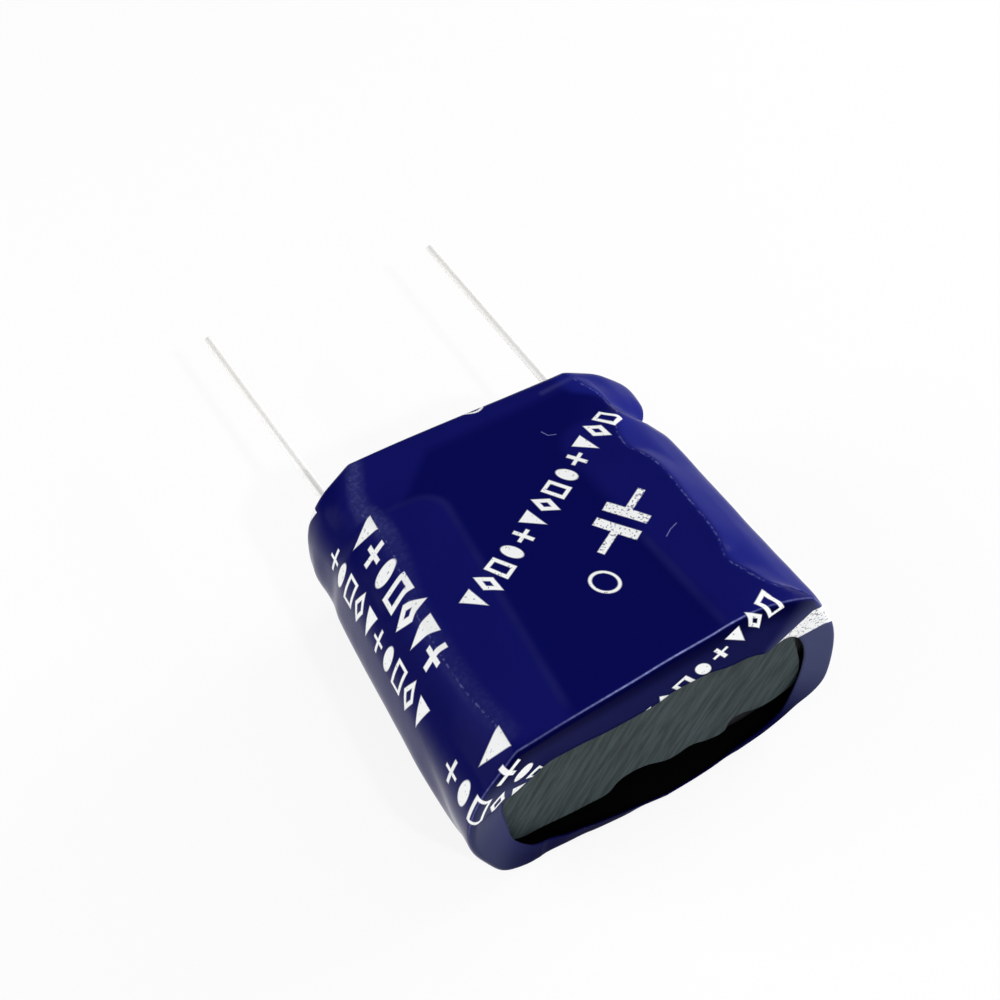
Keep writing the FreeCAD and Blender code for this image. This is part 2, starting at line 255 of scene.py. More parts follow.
# %% World with a dark card
ROOM_LEVEL = 0.6
CARD_LEVEL = 0.04
CARD_DIRECTION = Vector((-0.26, 0.78, 0.57)).normalized()
CARD_INNER = math.cos(math.radians(38.0))
CARD_OUTER = math.cos(math.radians(64.0))


def seen_directly(tree):
    """Two masks: the camera's own rays, and all that show the background, in a mirror or glass too."""
    path = add_node(tree, "ShaderNodeLightPath")
    rays = [Term(path.outputs[name]) for name in ("Is Camera Ray", "Is Glossy Ray", "Is Transmission Ray")]
    return rays[0], most(rays[0], most(rays[1], rays[2]))


def build_world():
    world = bpy.data.worlds.new("white_room")
    world.use_nodes = True
    tree = world.node_tree
    tree.nodes.clear()
    place = add_node(tree, "ShaderNodeTexCoord")
    facing = add_node(tree, "ShaderNodeVectorMath", operation="DOT_PRODUCT")
    tree.links.new(place.outputs["Generated"], facing.inputs[0])
    facing.inputs[1].default_value = CARD_DIRECTION
    card = ease(Term(facing.outputs["Value"]), CARD_OUTER, CARD_INNER)
    to_camera, shown = seen_directly(tree)
    room = ROOM_LEVEL + (1.0 - ROOM_LEVEL) * shown
    with_card = room * (1.0 - card * (1.0 - CARD_LEVEL))
    background = add_node(tree, "ShaderNodeBackground")
    feed(background.inputs["Strength"], most(with_card, to_camera))
    output = add_node(tree, "ShaderNodeOutputWorld")
    tree.links.new(background.outputs[0], output.inputs["Surface"])
    background.inputs["Color"].default_value = (1.0, 1.0, 1.0, 1.0)
    bpy.context.scene.world = world
    return world


bpy.context.scene.view_settings.view_transform = "Standard"
world = build_world()
print("world:", world.name, "with", len(world.node_tree.nodes), "nodes")

# %% [markdown]
# ## Floor and lamps
# The part lies on white paper that is nearly burnt out in the photo, with only a breath of shadow. A
# plain white floor under plain light would look grey, so most of its colour shows straight to the
# camera and in mirrors, and the rest is ordinary paper that takes the shadow. A small softbox stands in
# front and lights the board and the fold above it. A second, low on the right, lifts the blue of the
# right flank, and a wide fill on the left keeps that side from going black.

# %% White floor and softboxes
FLOOR_HALF = 1.5
FLOOR_CORNERS = ((-1, -1), (1, -1), (1, 1), (-1, 1))
FLOOR_DROP = 0.02 * MM
PAPER_WHITE = (0.93, 0.93, 0.93, 1.0)
PAPER_GLOW_SHARE = 0.86
LAMP_DISTANCE = 0.3
LAMPS = {
    "front_softbox": dict(towards=(0.2, -0.74, 0.64), size=0.015, power=0.3),
    "right_softbox": dict(towards=(0.96, 0.1, 0.24), size=0.16, power=0.85),
    "left_fill": dict(towards=(-0.85, 0.35, 0.4), size=0.2, power=0.5),
}


def build_floor():
    mesh = bpy.data.meshes.new("floor")
    corners = [(x * FLOOR_HALF, y * FLOOR_HALF, -FLOOR_DROP) for x, y in FLOOR_CORNERS]
    mesh.from_pydata(corners, [], [(0, 1, 2, 3)])
    floor = bpy.data.objects.new("floor", mesh)
    bpy.context.scene.collection.objects.link(floor)
    paper = bpy.data.materials.new("white_paper")
    paper.use_nodes = True
    tree = paper.node_tree
    tree.nodes.clear()
    diffuse = add_node(tree, "ShaderNodeBsdfDiffuse")
    diffuse.inputs["Color"].default_value = PAPER_WHITE
    glow = add_node(tree, "ShaderNodeEmission")
    mix = add_node(tree, "ShaderNodeMixShader")
    _, shown = seen_directly(tree)
    feed(mix.inputs[0], shown * PAPER_GLOW_SHARE)
    tree.links.new(diffuse.outputs[0], mix.inputs[1])
    tree.links.new(glow.outputs[0], mix.inputs[2])
    output = add_node(tree, "ShaderNodeOutputMaterial")
    tree.links.new(mix.outputs[0], output.inputs["Surface"])
    mesh.materials.append(paper)
    return floor


def build_softbox(name, towards, size, power):
    data = bpy.data.lights.new(name, "AREA")
    data.size = size
    data.energy = power
    lamp = bpy.data.objects.new(name, data)
    bpy.context.scene.collection.objects.link(lamp)
    direction = Vector(towards).normalized()
    lamp.location = direction * LAMP_DISTANCE
    lamp.rotation_euler = direction.to_track_quat("Z", "Y").to_euler()
    return lamp


floor = build_floor()
print(floor.name, "reaches", FLOOR_HALF, "m to each side")
for name, values in LAMPS.items():
    lamp = build_softbox(name, **values)
    print(lamp.name, "stands at, mm:", [round(v / MM) for v in lamp.location])

# %% [markdown]
# ## A group for fine mottle
# No real surface is one even colour. Rubber, solder, tin and film all vary a little from place to
# place and have a fine texture. The same effect serves them all at other scales, so it is a node
# group: it gives out a slow mottle, a fine grain and a height for the Bump node.


# %% Shader group: mottle
def start_group(name, inputs, outputs):
    """A shader group with named number sockets; gives back the tree, its inputs as terms, its end node."""
    tree = bpy.data.node_groups.new(name, "ShaderNodeTree")
    for socket, kind in inputs.items():
        tree.interface.new_socket(socket, in_out="INPUT", socket_type=kind)
    for socket in outputs:
        tree.interface.new_socket(socket, in_out="OUTPUT", socket_type="NodeSocketFloat")
    start = add_node(tree, "NodeGroupInput")
    end = add_node(tree, "NodeGroupOutput")
    given = {socket: Term(start.outputs[socket]) for socket in inputs}
    return tree, given, end


def build_mottle():
    inputs = {
        "Place": "NodeSocketVector",
        "Patch Scale": "NodeSocketFloat",
        "Grain Scale": "NodeSocketFloat",
    }
    tree, given, end = start_group("mottle", inputs, ("Patches", "Grain", "Height"))
    patches = noise(given["Place"], given["Patch Scale"], 3.0)
    grain = noise(given["Place"], given["Grain Scale"], 4.0, 0.6)
    feed(end.inputs["Patches"], ease(patches, 0.3, 0.7))
    feed(end.inputs["Grain"], grain)
    feed(end.inputs["Height"], grain * 0.6 + patches * 0.4)
    return tree


mottle_group = build_mottle()
print("group", mottle_group.name, "has", len(mottle_group.nodes), "nodes")

# %% [markdown]
# ## A group for rows of print
# White marks are printed on the sleeve in rows: along its side, and slantwise over its top. Here they
# are plain signs: discs, wedges, frames, crosses and lozenges. Each sign is a distance formula, and
# the row picks one sign for each step along it. The values below say how much of the row each sign
# fills. A stencil picture would be simpler, but formulas stay sharp at any size and need no image.

# %% Shader group: print row
SIGN_COUNT = 5
SIGN_HALF_WIDTH = 0.39
LOW_SIGN = 0.8
PLUS_SIGN = 0.7
DISC_SIGN = 0.75
SLOPE_SCALE = 0.8
EDGE_SOFTNESS = 0.035


def sign_distances(x, y, half_width, half_height, stroke):
    """How far a point lies outside each of the five signs, in millimetres."""
    across, up = x / half_width, y / half_height
    slope = half_width * SLOPE_SCALE
    low = half_height * LOW_SIGN
    round_place = figure("SQRT", across ** 2.0 + up ** 2.0)
    wedge_sides = (abs(across) + (up + LOW_SIGN) / (2 * LOW_SIGN) - 1.0) * slope
    frame_edge = most(abs(x) - half_width, abs(y) - low)
    upright = most(abs(x) - stroke, abs(y) - half_height * PLUS_SIGN)
    level = most(abs(y) - stroke, abs(x) - half_width)
    lozenge_edge = (abs(across) + abs(up) - 1.0) * slope
    return [
        (round_place - DISC_SIGN) * half_width,
        most(wedge_sides, y * -1.0 - low),
        abs(frame_edge + stroke) - stroke,
        least(upright, level),
        abs(lozenge_edge + stroke) - stroke,
    ]


def build_print_row():
    names = ("Along", "Across", "Pitch", "Height", "Stroke", "Length", "First Sign")
    tree, given, end = start_group("print_row", dict.fromkeys(names, "NodeSocketFloat"), ("Ink",))
    along, across, pitch = given["Along"], given["Across"], given["Pitch"]
    step = figure("FLOOR", along / pitch)
    x = along - (step + 0.5) * pitch
    signs = sign_distances(x, across, pitch * SIGN_HALF_WIDTH, given["Height"] / 2, given["Stroke"] / 2)
    chosen = figure("FLOORED_MODULO", step * 2.0 + given["First Sign"], float(SIGN_COUNT))
    distance = sum(figure("COMPARE", chosen, float(k), 0.5) * sign for k, sign in enumerate(signs))
    ink = ease(distance, EDGE_SOFTNESS, -EDGE_SOFTNESS)
    inside = figure("GREATER_THAN", along, 0.0) * figure("LESS_THAN", along, given["Length"])
    feed(end.inputs["Ink"], ink * inside)
    return tree


print_group = build_print_row()
print("group", print_group.name, "has", len(print_group.nodes), "nodes")

# %% [markdown]
# ## Starting a material
# Every finish here ends in one Principled shader. The constant values are set on its own sockets, and
# only what changes over the surface is linked.


# %% Material helpers
def start_material(name, **constants):
    """A material with a Principled shader whose named sockets are set."""
    material = bpy.data.materials.new(name)
    material.use_nodes = True
    tree = material.node_tree
    tree.nodes.clear()
    shader = add_node(tree, "ShaderNodeBsdfPrincipled")
    output = add_node(tree, "ShaderNodeOutputMaterial")
    tree.links.new(shader.outputs[0], output.inputs["Surface"])
    for socket, value in constants.items():
        shader.inputs[socket.replace("_", " ")].default_value = value
    return material, tree, shader


def blend(tree, share, first, second):
    """Mixes two colours; each is a colour or a socket."""
    node = add_node(tree, "ShaderNodeMix", data_type="RGBA")
    feed(node.inputs[0], share)
    for socket, colour in ((node.inputs[6], first), (node.inputs[7], second)):
        if isinstance(colour, tuple):
            socket.default_value = (*colour, 1.0)
        else:
            tree.links.new(colour, socket)
    return node.outputs[2]


def use_group(tree, group, **values):
    """Places a group and feeds its sockets; gives back its outputs as terms."""
    node = add_node(tree, "ShaderNodeGroup")
    node.node_tree = group
    for socket, value in values.items():
        feed(node.inputs[socket.replace("_", " ")], value)
    return {socket.name: Term(socket) for socket in node.outputs}


def bump(tree, shader, height, strength, depth):
    """Feeds a height into the shader's normal; depth is in metres."""
    node = add_node(tree, "ShaderNodeBump")
    node.inputs["Strength"].default_value = strength
    node.inputs["Distance"].default_value = depth
    feed(node.inputs["Height"], height)
    tree.links.new(node.outputs[0], shader.inputs["Normal"])


def object_place(tree):
    """Object coordinates, which on these pieces are metres in the CAD frame."""
    return Term(add_node(tree, "ShaderNodeTexCoord").outputs["Object"])


print("material helpers ready")

# %% [markdown]
# ## The shrink sleeve
# The sleeve is a tube of film that was slipped over both cells and shrunk with hot air. Its section is
# a stadium: two half circles joined by two flats. It folds in over both ends, sinks into the rolled
# bead of the cans, sags a little between the cells and stands off as sharp ridges where it bridges.
#
# Sculpting would lose the measured places, so the shape is a rule: a flat grid is rolled up by a
# Geometry Nodes tree. One side of the grid runs round the cells and the other along them, so each
# feature is a short formula of the two. The sizes come first, since shape and print both need them.

# %% Sizes of the sleeve, from the frame
sleeve_low, sleeve_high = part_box("outer_sleeve")
board_low, board_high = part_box("end_board")
RIM_FLARE = 0.3 * MM
FILM_WALL = 0.1 * MM
sleeve_radius = (sleeve_high.z - sleeve_low.z) / 2
sleeve_sizes = {
    "Radius": sleeve_radius,
    "Cell Offset": sleeve_high.x - sleeve_radius - RIM_FLARE,
    "Back": sleeve_high.y - 0.04 * MM,
    "Front": sleeve_low.y,
    "Lead Lip": 1.46 * MM,
    "Front Fold": 0.28 * MM,
    "Bead Place": 6.7 * MM,
    "Bead Depth": 0.45 * MM,
    "Rim Flare": 0.28 * MM,
    "Web Sag": 0.12 * MM,
    "Board Face": board_low.y - FILM_WALL - 0.05 * MM,
    "Waviness": 0.06 * MM,
}
FILM_ROUND = 4 * sleeve_sizes["Cell Offset"] + 2 * math.pi * sleeve_radius
print({name: round(size / MM, 2) for name, size in sleeve_sizes.items()})

# %% [markdown]
# The hand-made look is in a few lines read from the photo. The front fold does not lie in one plane,
# and the lip folded over the end is wide on top, narrow at the sides and almost nothing below. Both lines
# are pairs: a share of the way round the film, and millimetres. A ridge is film that bridges between two
# stretches of the can: it stands off as the corner of two tangents. Each ridge is a list of places along
# the sleeve, with its crest in degrees from the top of the cell and how many degrees it reaches to each
# side. The upper crests are sharp, and the lower ones rounder.

# %% Lines read from the photo
FRONT_LINE = (
    (0.0, 0.1), (0.0324, 0.14), (0.0807, 0.32), (0.114, 0.45), (0.15, 0.5), (0.185, 0.4), (0.25, 0.55),
    (0.323, 0.71), (0.4037, 0.9), (0.439, 0.81), (0.477, 0.73), (0.515, 0.59), (0.552, 0.47), (0.586, 0.36),
    (0.626, 0.2), (0.66, 0.08), (0.7, 0.02), (0.75, 0.0), (0.8286, 0.03), (0.863, 0.22),
    (0.894, 0.42), (0.926, 0.3), (0.96, 0.18), (1.0, 0.1),
)
LIP_WIDTH = (
    (0.0, 0.36), (0.03, 0.38), (0.06, 0.42), (0.09, 0.5), (0.11, 0.58), (0.125, 0.66), (0.14, 0.78),
    (0.1582, 0.98), (0.1782, 1.18), (0.2055, 1.35), (0.2405, 1.6), (0.291, 1.9), (0.318, 2.5), (0.344, 3.5),
    (0.4135, 3.44), (0.442, 3.03), (0.4696, 2.96), (0.4976, 3.3), (0.541, 3.4), (0.578, 3.3), (0.6595, 3.4),
    (0.714, 2.9), (0.721, 2.4), (0.7688, 2.2), (0.82, 1.35), (0.845, 1.15), (0.8696, 1.05), (0.9, 0.85),
    (0.93, 0.65), (0.96, 0.48), (1.0, 0.36),
)
RIGHT_RIDGES = (
    ((0.0, 48, 20), (0.02, 47, 20), (0.06, 38, 20), (0.105, 20, 20), (0.165, 15.5, 15.5),
     (0.205, 13.5, 13.5), (0.235, 15.5, 15.5), (0.3, 18.5, 18), (0.4, 19.5, 19), (0.51, 20.5, 20),
     (0.6, 17, 17), (0.65, 13.5, 13.5), (0.72, 17, 17), (0.8, 26, 20), (0.85, 23, 20), (0.93, 16, 16),
     (1.0, 14, 14)),
    ((0.0, 62, 0), (0.05, 62, 5), (0.12, 62, 14), (0.3, 62, 12), (0.5, 62, 14), (0.68, 62, 15),
     (0.74, 64, 9), (0.81, 66, 0), (0.84, 68, 8), (0.93, 68, 16), (1.0, 66, 12)),
    ((0.0, 126, 19), (0.05, 122, 19), (0.15, 118, 18), (0.6, 118, 18), (0.74, 116, 16), (0.81, 114, 0),
     (0.9, 112, 10), (1.0, 112, 8)),
)
LEFT_RIDGES = (
    ((0.0, 20, 20), (0.11, 23, 20), (0.15, 24.5, 20), (0.255, 27, 20), (0.43, 27.5, 20), (0.59, 23, 20),
     (0.69, 21, 20), (0.79, 22.6, 20), (0.84, 26, 20), (0.9, 23, 20), (0.96, 18, 18), (1.0, 16, 16)),
    ((0.0, 136, 20), (0.05, 128, 20), (0.1, 115, 19), (0.156, 105, 18.5), (0.218, 99, 19.2), (0.28, 97, 20),
     (0.474, 97, 20.3), (0.614, 97, 20.6), (0.683, 97, 20.6), (0.754, 97, 19.5), (0.89, 97, 19.5),
     (0.95, 97, 16), (1.0, 97, 10)),
)
CREST_ROUNDING = (2.0, 7.0, 7.0)


def ridge_line(lengthwise, ridge):
    """The crest of a ridge and its reach to each side, in radians from the top of the cell."""
    crest = drawn_curve(lengthwise, [(at, degrees) for at, degrees, _ in ridge])
    reach = drawn_curve(lengthwise, [(at, degrees) for at, _, degrees in ridge])
    return crest * (math.pi / 180), reach * (math.pi / 180)


def share_of_length(y, front, back):
    """0 at the front of the sleeve and 1 at the lead end."""
    return between((y - front) / (back - front), 0.0, 1.0)


print("ridges on the right:", len(RIGHT_RIDGES), "and on the left:", len(LEFT_RIDGES))

# %% [markdown]
# ## Printed shrink film
# The sleeve is dark blue film with white ink. It was printed flat, so its marks are placed on a map of
# the unrolled film: `s` runs round the sleeve from the middle of its underside, `v` along it, both in
# millimetres. The print repeats along the film, which a wrap of `v` gives. The broad marks are the two
# plates of a capacitor sign and the stripe of the negative side, which the gathered front lip pulls up a
# little. The ink of the broad marks is full of small holes.

# %% Ink on the unrolled film
PRINT_REPEAT = 15.1
PRINT_TOP = 7.9
SLANT = math.radians(32.3)
SIDE_ROWS = (
    dict(middle=35.3, start=6.5, Pitch=1.52, Height=2.4, Stroke=0.32, Length=10.64, First_Sign=1.0),
    dict(middle=38.0, start=7.6, Pitch=1.28, Height=2.1, Stroke=0.2, Length=12.8, First_Sign=3.0),
)
SLANT_ROW = dict(start=(19.9, 5.8), Pitch=1.16, Height=1.75, Stroke=0.22, Length=15.08, First_Sign=2.0)
RING_MIDDLE = (26.3, -4.3)
RING_HALF = (0.66, 0.85)
RING_STROKE = 0.07
PLATES_MIDDLE = (23.6, -1.4)
PLATE_HALF = (0.28, 1.25)
PLATE_APART = 0.55
STUB_HALF = (0.75, 0.2)
STUB_APART = 1.55
STRIPE_MIDDLE = 14.6
STRIPE_HALF = 0.9
STRIPE_SHIFT = 1.9
STRIPE_PULLED = (-8.8, -10.4)


def slanted(s, v, start):
    """Lengths along and across the slanted rows, from a starting place."""
    right, down = s - start[0], start[1] - v
    along = right * math.cos(SLANT) + down * math.sin(SLANT)
    return along, down * math.cos(SLANT) - right * math.sin(SLANT)


def ink_mask(tree, s, v):
    """Where the ink lies, from 0 to 1: first the fine rows, then the broad marks."""
    repeat = figure("WRAP", v, PRINT_TOP, PRINT_TOP - PRINT_REPEAT)
    masks = []
    for row in (*SIDE_ROWS, SLANT_ROW):
        values = {name: value for name, value in row.items() if name not in ("middle", "start")}
        if row is SLANT_ROW:
            values["Along"], values["Across"] = slanted(s, repeat, row["start"])
        else:
            values.update(Along=row["start"] - repeat, Across=s - row["middle"])
        masks.append(use_group(tree, print_group, **values)["Ink"])
    along, across = slanted(s, repeat, RING_MIDDLE)
    round_place = figure("SQRT", (along / RING_HALF[0]) ** 2.0 + (across / RING_HALF[1]) ** 2.0)
    ring = abs((round_place - 1.0) * RING_HALF[0] + RING_STROKE) - RING_STROKE
    masks.append(ease(ring, EDGE_SOFTNESS, -EDGE_SOFTNESS))
    along, across = slanted(s, repeat, PLATES_MIDDLE)
    plates = most(abs(abs(along) - PLATE_APART) - PLATE_HALF[0], abs(across) - PLATE_HALF[1])
    stubs = most(abs(abs(along) - STUB_APART) - STUB_HALF[0], abs(across) - STUB_HALF[1])
    stripe = abs(s - STRIPE_MIDDLE - STRIPE_SHIFT * ease(v, *STRIPE_PULLED)) - STRIPE_HALF
    nearest = least(least(plates, stubs), stripe)
    rows = masks[0]
    for mask in masks[1:]:
        rows = most(rows, mask)
    return rows, ease(nearest, EDGE_SOFTNESS, -EDGE_SOFTNESS)


print("the print repeats every", PRINT_REPEAT, "mm along the film")

# %% [markdown]
# Over each cell, and on the rim behind the bead, the film is painted a slightly paler blue: painted light on
# the raised film. Between the pads, and in the valley of the rolled bead behind them, it hangs free, and its
# deeper blue there is painted shade. One distance formula describes the edge of the pads, which shows as a
# faint line, and the shape of the hollow uses it again later. A pair of values is where a fade starts and
# ends.

# %% Pads over the cells
PAD_EDGE = 3.55
PAD_EDGE_AT = 4.0
PAD_SPREAD = 0.05
PAD_BACK = 6.0
PAD_CORNER = 1.6
PAD_FADE = 0.5
PAD_FRONT = (-10.5, -9.9)
PAD_LINE_HALF = 0.4
PAD_LINE_SHARE = 0.018
PAD_LINE_RIGHT = (-2.0, -3.5)
PAD_LINE_FRONT = (-10.0, -9.0)
RIM_START = (8.4, 9.4)
RIM_BEND = 2.7
RIM_SLOPE = 1.05


def pad_distance(across, v):
    """How far a place lies outside the pads, in millimetres; `across` is 0 between the cells."""
    edge = PAD_EDGE + (PAD_EDGE_AT - v) * PAD_SPREAD
    inward = most(edge + PAD_CORNER - abs(across), 0.0)
    beyond = most(v - (PAD_BACK - PAD_CORNER), 0.0)
    return figure("SQRT", inward ** 2.0 + beyond ** 2.0) - PAD_CORNER


def painted_pad_light(across, v, distance):
    """1 where the film is painted paler, as painted light: on the pads and on the rim behind the bead; less
    in the hollows, which keep a deeper blue as painted shade.
    """
    pad = ease(distance, PAD_FADE, -PAD_FADE) * ease(v, *PAD_FRONT)
    rim = ease(v + most(-1.0 * across - RIM_BEND, 0.0) * RIM_SLOPE, *RIM_START)
    return most(pad, rim)


def pad_border(across, v, distance, patches):
    """How pale the line round the pads is. On the right only its front stretch shows."""
    shown = most(ease(across, PAD_FADE, -PAD_FADE), ease(v, *PAD_LINE_RIGHT)) * ease(v, *PAD_LINE_FRONT)
    return ease(abs(distance), PAD_LINE_HALF, 0.0) * PAD_LINE_SHARE * shown * partly(0.6, patches)


print("the pads begin", PAD_EDGE, "mm from the middle")

# %% [markdown]
# A crease shows as a hair-thin line of pale specks where the film was bent. Its place is the crest of the
# upper ridges and the front fold, so the same drawn lines are used again, now on the unrolled film. The
# front fold also gets a painted highlight, brightest right of its middle, and the left crest a wider painted
# highlight that grows to the back. Scratches and short wrinkles are paths of straight segments, each with
# its own half width and strength.

# %% Creases, wrinkles and scratches
CREASE_HALF = 0.1
CREASE_SHARE = 0.25
CREASE_START = (0.4, 1.0)
FOLD_HALF = 0.07
FOLD_INSET = 0.12
FOLD_SHARE = 0.3
FOLD_BRIGHTER = 0.6
FOLD_ENDS = (14.0, 11.0)
FOLD_BRIGHT_RIGHT = (21.0, 23.0)
FOLD_BRIGHT_LEFT = (33.0, 27.0)
GLOW_HALF = 0.8
GLOW_MIDDLE = -0.2
GLOW_SHARE = 0.045
GLOW_GROWTH = 1.5
GLOW_BACK = (2.0, 6.0)
FILM_LINES = (
    dict(half=0.045, share=0.5, path=((23.89, 6.63), (23.71, 6.18), (23.33, 5.96))),
    dict(half=0.045, share=0.5, path=((22.32, -3.57), (21.92, -3.29), (21.45, -3.11))),
    dict(half=0.4, share=0.06, path=((34.68, 6.7), (34.06, 6.72))),
    dict(half=0.4, share=0.06, path=((34.45, 4.92), (33.78, 4.54))),
    dict(half=0.2, share=0.06, path=((33.82, 10.35), (34.36, 8.73), (34.8, 6.92))),
    dict(half=0.3, share=0.05, path=((22.4, 9.27), (20.53, 9.41), (19.63, 9.11), (19.39, 7.28))),
)


def near_path(s, v, path):
    """How far a point of the film lies from a path of straight segments."""
    nearest = None
    for (s0, v0), (s1, v1) in zip(path, path[1:]):
        run, rise = s1 - s0, v1 - v0
        share = between(((s - s0) * run + (v - v0) * rise) / (run * run + rise * rise), 0.0, 1.0)
        gap = figure("SQRT", (s - s0 - share * run) ** 2.0 + (v - v0 - share * rise) ** 2.0)
        nearest = gap if nearest is None else least(nearest, gap)
    return nearest


def crest_distances(s, v):
    """How far a point lies below the upper right and the upper left crest, in millimetres."""
    radius, offset = sleeve_radius / MM, sleeve_sizes["Cell Offset"] / MM
    lengthwise = share_of_length(v, sleeve_sizes["Front"] / MM, sleeve_sizes["Back"] / MM)
    right_crest, _ = ridge_line(lengthwise, RIGHT_RIDGES[0])
    left_crest, _ = ridge_line(lengthwise, LEFT_RIDGES[0])
    right = offset + math.pi * radius - right_crest * radius - s
    left = s - 3 * offset - math.pi * radius - left_crest * radius
    return right, left


def behind_fold(s, v):
    """How far a point lies behind the front fold, in millimetres; less than 0 on the lip."""
    fold = drawn_curve(s / (FILM_ROUND / MM), FRONT_LINE) + sleeve_sizes["Front"] / MM + FOLD_INSET
    return v - fold


def pale_lines(s, v, behind, right, left, specks):
    """How pale the film is from creases, wrinkles and scratches, and from painted highlight on the fold and
    the left crest, from 0 to 1.
    """
    on_top = ease(behind, *CREASE_START)
    crease = ease(least(abs(left), abs(right)), CREASE_HALF, 0.0) * on_top * specks * CREASE_SHARE
    growth = 1.0 + GLOW_GROWTH * ease(v, *GLOW_BACK)
    # painted highlight: a wider glow along the left crest
    glow = ease(abs(left - GLOW_MIDDLE), GLOW_HALF, 0.0) * on_top * GLOW_SHARE * growth
    top_only = ease(abs(s - FILM_ROUND / MM / 2), *FOLD_ENDS)
    brightness = FOLD_SHARE + FOLD_BRIGHTER * ease(s, *FOLD_BRIGHT_LEFT) * ease(s, *FOLD_BRIGHT_RIGHT)
    # the front fold: partly the pale of stress, mostly painted highlight
    fold_highlight = ease(abs(behind), FOLD_HALF, 0.0) * top_only * partly(0.4, specks) * brightness
    mask = most(most(crease, fold_highlight), glow * partly(0.5, specks))
    for line in FILM_LINES:
        mask = most(mask, ease(near_path(s, v, line["path"]), line["half"], 0.0) * line["share"])
    return mask


print("scratches and wrinkles drawn:", len(FILM_LINES))

# %% [markdown]
# Now the film itself. Its colour holds painted light and shade: deep blue where it hangs free and in the
# hollows, painted paler on the pads, painted light on the right flank, painted shade nearly black below the
# front fold and milky painted light where the lip is gathered at the sides. Full gloss would show the white
# room all over it, so the mirror is kept weak. Only the lower left flank mirrors the paper.

# %% The film material
FILM_BLUE = (0.0027, 0.0033, 0.077)
# painted light on the pads; the deeper base blue left in the hollows is painted shade
FILM_BLUE_PAD_PAINTED_LIGHT = (0.0055, 0.0062, 0.107)
# painted light on the right flank, where the softbox on the right falls
FILM_BLUE_FLANK_PAINTED_LIGHT = (0.0080, 0.0110, 0.158)
# painted shade just below the front fold
FILM_LIP_PAINTED_SHADE = (0.0008, 0.0010, 0.030)
# painted light towards the edge of the lip
FILM_LIP_EDGE_PAINTED_LIGHT = (0.0060, 0.0070, 0.060)
# milky painted light where the lip is gathered at the sides
FILM_LIP_SIDE_PAINTED_LIGHT = (0.062, 0.070, 0.150)
# pale of stress on creases, and painted highlight on the front fold and the left crest
FILM_STRESS_AND_HIGHLIGHT = (0.28, 0.32, 0.66)
INK_WHITE = (0.88, 0.89, 0.89)
FILM_MAP = "film"
LEFT_FLANK = (0.0, 1.8)
RIGHT_FLANK = (-0.3, 0.6)
RIGHT_FLANK_RISE = 0.9
RIGHT_FLANK_BACK = (7.0, 8.5)
LIP_START = (0.05, -0.2)
LIP_EDGE = (-0.5, -1.8)
LIP_SIDE_ABOVE = (8.0, 10.5)
LIP_SIDE_BELOW = (20.0, 15.0)
LIP_SIDE_SHARE = 0.5
LIP_SIDE_RIGHT_MORE = 0.4
LIP_SIDE_CHANGE = (-2.0, 2.0)
ROW_HOLES = (0.32, 0.38)
MARK_HOLES = (0.34, 0.46)
MARK_HOLE_SCALE = 7500.0
FILM_SPECKS = (0.42, 0.68)
SPECK_SCALE = 4200.0
WEAK_MIRROR = 0.01
LIP_DULLNESS = 0.85
PAPER_MIRROR = 0.1
PAPER_MIRROR_START = (2.4, 5.2)


def worn_ink(tree, s, v, place, grain):
    """The ink and its small holes: few in the fine rows, many in the broad marks."""
    rows, marks = ink_mask(tree, s, v)
    few = ease(grain, *ROW_HOLES)
    many = ease(noise(place, MARK_HOLE_SCALE), *MARK_HOLES)
    return most(rows * partly(0.65, few), marks * partly(0.75, many))


def painted_lip_light_and_shade(tree, behind, across):
    """Painted shade below the fold, painted light towards the edge, and milky painted light where the lip is
    gathered at the sides.
    """
    lip = blend(tree, ease(behind, *LIP_EDGE), FILM_LIP_PAINTED_SHADE, FILM_LIP_EDGE_PAINTED_LIGHT)
    sides = ease(abs(across), *LIP_SIDE_ABOVE) * ease(abs(across), *LIP_SIDE_BELOW)
    share = sides * (LIP_SIDE_SHARE + LIP_SIDE_RIGHT_MORE * ease(across, *LIP_SIDE_CHANGE))
    return blend(tree, share, lip, FILM_LIP_SIDE_PAINTED_LIGHT)


def film_colour(tree, v, pad_light, right, lip, lip_light_and_shade):
    """The blue of the bare film, with painted light on the pads and the right flank, and painted light and
    shade on the front lip.
    """
    # painted light on the right flank
    flank_light = ease(right + RIGHT_FLANK_RISE * ease(v, *RIGHT_FLANK_BACK), *RIGHT_FLANK) * ease(v, *PAD_FRONT)
    blue = blend(tree, pad_light, FILM_BLUE, FILM_BLUE_PAD_PAINTED_LIGHT)
    blue = blend(tree, flank_light, blue, FILM_BLUE_FLANK_PAINTED_LIGHT)
    return blend(tree, lip, blue, lip_light_and_shade)


